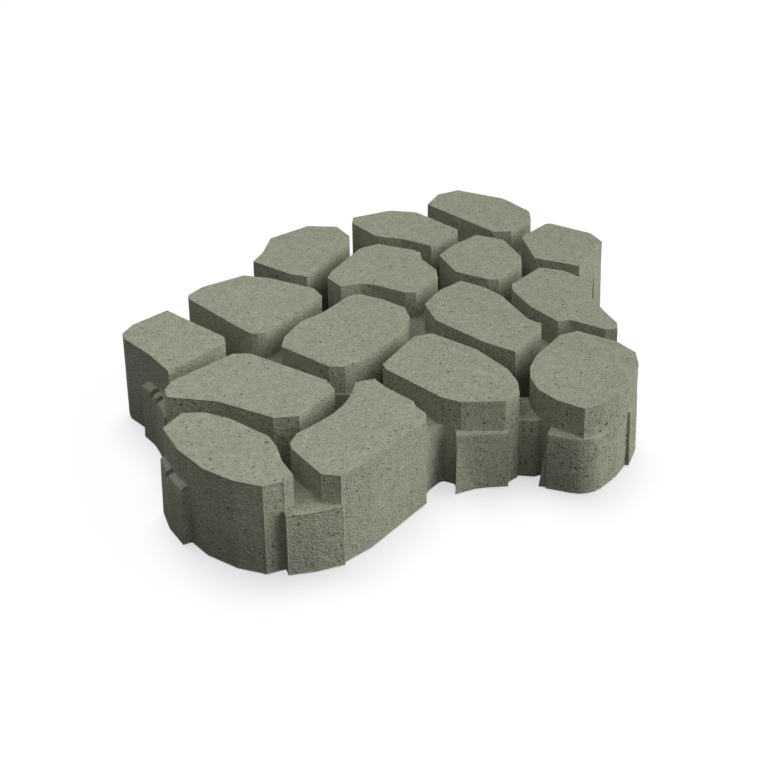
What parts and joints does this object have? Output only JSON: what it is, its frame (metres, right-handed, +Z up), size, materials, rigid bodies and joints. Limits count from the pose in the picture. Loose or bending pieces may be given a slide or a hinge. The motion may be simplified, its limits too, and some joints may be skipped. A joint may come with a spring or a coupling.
{
  "type": "paving stone",
  "caption": "Interlocking concrete paving stone cast in one piece: irregular flat cobble heads parted by open joints on a common slab, with spacers on its outer sides.",
  "frame": {"origin": "middle of the bed face, on the ground", "axes": "+Z up from the bed to the walking face, +Y along the longest side, away from the picture's viewpoint, +X to the right"},
  "size_m": [0.45, 0.594, 0.08],
  "materials": {
    "concrete": "rough, fine grained, with small open pores"
  },
  "bodies": {
    "root": {"paving_stone": "concrete"}
  },
  "joints": []
}
